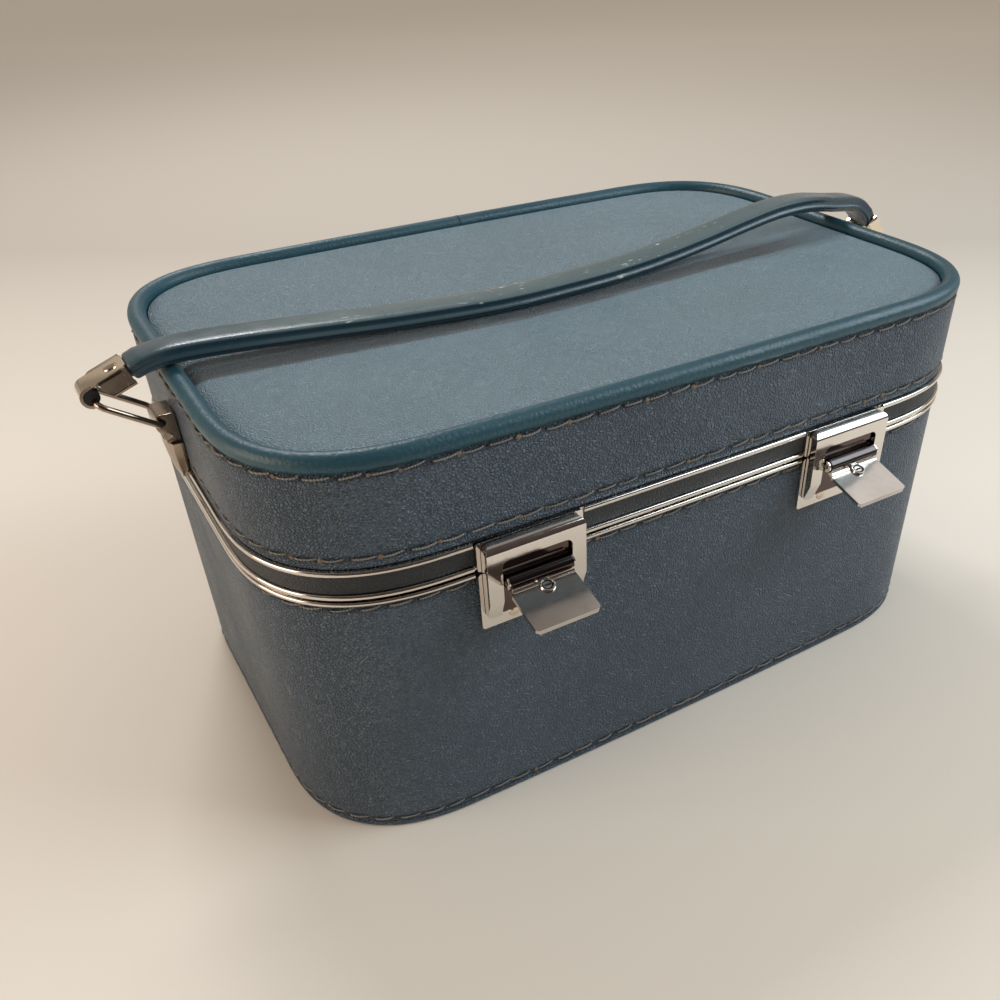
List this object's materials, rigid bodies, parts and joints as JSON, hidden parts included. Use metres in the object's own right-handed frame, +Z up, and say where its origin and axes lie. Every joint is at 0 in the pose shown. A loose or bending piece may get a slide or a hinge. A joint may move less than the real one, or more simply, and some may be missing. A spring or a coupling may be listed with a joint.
{
  "type": "cosmetic train case",
  "caption": "Hard vinyl cosmetic train case with a hinged lid, a mirror inside it, flap latches and a flexible strap handle on wire links.",
  "frame": {"origin": "middle of the underside, on the surface the case stands on", "axes": "+X along the latched front to the right, +Y to the hinged back, +Z up"},
  "size_m": [0.3913, 0.2521, 0.184],
  "materials": {
    "wall_vinyl": "dark blue-grey grained vinyl",
    "top_vinyl": "paler blue-grey grained vinyl, padded",
    "piping_vinyl": "smooth teal vinyl",
    "strap_vinyl": "smooth worn grey-teal vinyl",
    "board": "raw board",
    "foam": "soft foam",
    "lining": "woven lining",
    "chrome": "bright plating, lightly worn",
    "dark_steel": "plain steel",
    "mirror": "silvered glass"
  },
  "bodies": {
    "base": {"base_wall_cover": "wall_vinyl", "base_bottom_cover": "wall_vinyl", "base_welt": "piping_vinyl", "base_wall_board": "board", "base_bottom_board": "board", "base_wall_lining": "lining", "base_floor_lining": "lining", "base_valance": "chrome", "hinge_left_base_leaf": "chrome", "hinge_left_pin": "dark_steel", "hinge_right_base_leaf": "chrome", "hinge_right_pin": "dark_steel", "latch_left_base_plate": "chrome", "latch_left_pin": "dark_steel", "latch_left_spring": "dark_steel", "latch_right_base_plate": "chrome", "latch_right_pin": "dark_steel", "latch_right_spring": "dark_steel"},
    "lid": {"lid_wall_cover": "wall_vinyl", "lid_top_cover": "top_vinyl", "lid_piping": "piping_vinyl", "lid_valance_strip": "piping_vinyl", "lid_wall_board": "board", "lid_top_board": "board", "lid_top_pad": "foam", "lid_wall_lining": "lining", "lid_top_lining": "lining", "lid_valance": "chrome", "lid_mirror_rim": "chrome", "lid_mirror": "mirror", "hinge_left_lid_leaf": "chrome", "hinge_right_lid_leaf": "chrome", "latch_left_lid_plate": "chrome", "latch_left_bezel": "chrome", "latch_left_hasp": "chrome", "latch_right_lid_plate": "chrome", "latch_right_bezel": "chrome", "latch_right_hasp": "chrome", "handle_left_bracket": "chrome", "handle_right_bracket": "chrome"},
    "latch_left_flap": {"latch_left_flap": "chrome"},
    "latch_left_lock": {"latch_left_lock_plug": "chrome"},
    "link_left": {"handle_left_link": "chrome"},
    "handle_left": {"handle_left_clip": "chrome", "handle_left_rivet": "chrome", "handle_left_strap": "strap_vinyl"},
    "latch_right_flap": {"latch_right_flap": "chrome"},
    "latch_right_lock": {"latch_right_lock_plug": "chrome"},
    "link_right": {"handle_right_link": "chrome"},
    "handle_right": {"handle_right_clip": "chrome", "handle_right_rivet": "chrome", "handle_right_strap": "strap_vinyl"}
  },
  "joints": [
    {"name": "lid_hinge", "type": "hinge", "parent": "base", "child": "lid", "pos_m": [0, 0.11284, 0.1158], "axis": [-1, 0, 0], "range_deg": [0, 100]},
    {"name": "latch_left_flap_pivot", "type": "hinge", "parent": "base", "child": "latch_left_flap", "pos_m": [-0.075, -0.11552, 0.112], "axis": [1, 0, 0], "range_deg": [0, 75], "stiffness_Nm_per_rad": 0.02, "springref_deg": -11.46},
    {"name": "latch_left_lock_turn", "type": "hinge", "parent": "latch_left_flap", "child": "latch_left_lock", "pos_m": [-0.075, -0.12102, 0.11052], "axis": [0, -0.2588, 0.9659], "range_deg": [0, 90]},
    {"name": "latch_right_flap_pivot", "type": "hinge", "parent": "base", "child": "latch_right_flap", "pos_m": [0.075, -0.11552, 0.112], "axis": [1, 0, 0], "range_deg": [0, 75], "stiffness_Nm_per_rad": 0.02, "springref_deg": -11.46},
    {"name": "latch_right_lock_turn", "type": "hinge", "parent": "latch_right_flap", "child": "latch_right_lock", "pos_m": [0.075, -0.12102, 0.11052], "axis": [0, -0.2588, 0.9659], "range_deg": [0, 90]},
    {"name": "link_left_swing", "type": "hinge", "parent": "lid", "child": "link_left", "pos_m": [-0.1705, 0, 0.1499], "axis": [0, 1, 0], "range_deg": [0, 45]},
    {"name": "link_right_swing", "type": "hinge", "parent": "lid", "child": "link_right", "pos_m": [0.1705, 0, 0.1499], "axis": [0, -1, 0], "range_deg": [0, 64.2]},
    {"name": "handle_left_pivot", "type": "hinge", "parent": "link_left", "child": "handle_left", "pos_m": [-0.1895, 0, 0.16286], "axis": [0, 1, 0], "range_deg": [-66.6, 0]},
    {"name": "handle_bend", "type": "hinge", "parent": "handle_left", "child": "handle_right", "pos_m": [0, -0.01349, 0.16732], "axis": [0, 1, 0], "range_deg": [0, 39.6]}
  ],
  "couplings": [
    {"joint": "link_right_swing", "follows": "link_left_swing", "ratio": 1.4233},
    {"joint": "handle_left_pivot", "follows": "link_left_swing", "ratio": -1.4767},
    {"joint": "handle_bend", "follows": "link_left_swing", "ratio": 0.8759}
  ]
}
